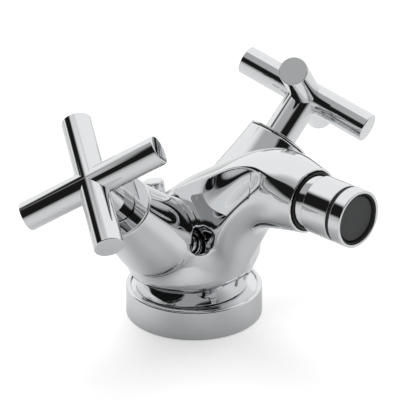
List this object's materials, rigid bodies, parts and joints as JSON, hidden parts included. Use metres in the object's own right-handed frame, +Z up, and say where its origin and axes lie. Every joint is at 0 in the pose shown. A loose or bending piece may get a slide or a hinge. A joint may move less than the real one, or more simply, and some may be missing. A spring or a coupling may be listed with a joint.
{
  "type": "bathroom mixer faucet",
  "caption": "Deck-standing chromed mixer with cross handles on slanted valve arms, a short swan spout with a swivelling ball outlet, and a waste lift knob.",
  "frame": {"origin": "centre of the round base, on the deck face", "axes": "+Z up, away from the deck; -Y from the base towards the spout's outlet and the user; +X towards the cold valve, so the hot valve is at -X"},
  "size_m": [0.1736, 0.1209, 0.1062],
  "materials": {
    "chrome": "polished chrome plate",
    "brass": "machined brass, hidden",
    "rubber": "black rubber",
    "black_plastic": "black moulded plastic",
    "grey_plastic": "matt dark grey moulded plastic",
    "white_plastic": "white moulded plastic",
    "ceramic": "lapped white alumina ceramic",
    "spring_steel": "bare spring steel"
  },
  "bodies": {
    "mixer": {"mixer_body": "chrome", "base_ring": "chrome", "base_gasket": "rubber", "hot_headwork": "brass", "hot_headwork_washer": "rubber", "hot_bonnet_cap": "chrome", "hot_seat_seal": "rubber", "hot_fixed_disc": "ceramic", "cold_headwork": "brass", "cold_headwork_washer": "rubber", "cold_bonnet_cap": "chrome", "cold_seat_seal": "rubber", "cold_fixed_disc": "ceramic", "swivel_seal": "rubber", "swivel_retainer": "black_plastic", "lift_rod_bush": "white_plastic"},
    "hot_control": {"hot_spindle": "brass", "hot_spindle_ring": "rubber", "hot_spindle_clip": "spring_steel", "hot_moving_disc": "ceramic", "hot_handle": "chrome", "hot_handle_screw": "spring_steel"},
    "cold_control": {"cold_spindle": "brass", "cold_spindle_ring": "rubber", "cold_spindle_clip": "spring_steel", "cold_moving_disc": "ceramic", "cold_handle": "chrome", "cold_handle_screw": "spring_steel"},
    "swivel_seat": {"swivel_liner": "white_plastic"},
    "ball": {"ball_nipple": "chrome"},
    "nozzle": {"aerator_housing": "chrome", "seam_ring": "rubber", "aerator_collar": "chrome", "aerator_insert": "grey_plastic", "aerator_washer": "rubber"},
    "lift": {"lift_knob": "chrome", "lift_rod": "chrome", "lift_rod_clip": "spring_steel"}
  },
  "joints": [
    {"name": "hot_turn", "type": "hinge", "parent": "mixer", "child": "hot_control", "pos_m": [0, 0, 0.0192], "axis": [-0.7096, -0.0576, 0.7022], "range_deg": [0, 90]},
    {"name": "cold_turn", "type": "hinge", "parent": "mixer", "child": "cold_control", "pos_m": [0, 0, 0.0192], "axis": [-0.7096, 0.0576, -0.7022], "range_deg": [0, 90]},
    {"name": "outlet_pan", "type": "hinge", "parent": "mixer", "child": "swivel_seat", "pos_m": [0, -0.0638, 0.073], "axis": [0, 0, 1], "range_deg": [-10, 10]},
    {"name": "outlet_tilt", "type": "hinge", "parent": "swivel_seat", "child": "ball", "pos_m": [0, -0.0638, 0.073], "axis": [1, 0, 0], "range_deg": [-10, 10]},
    {"name": "outlet_roll", "type": "hinge", "parent": "ball", "child": "nozzle", "pos_m": [0, -0.0638, 0.073], "axis": [0, -1, 0], "continuous": true},
    {"name": "lift_pull", "type": "slide", "parent": "mixer", "child": "lift", "axis": [0, 0.1994, 0.9799], "range_m": [0, 0.02]}
  ]
}
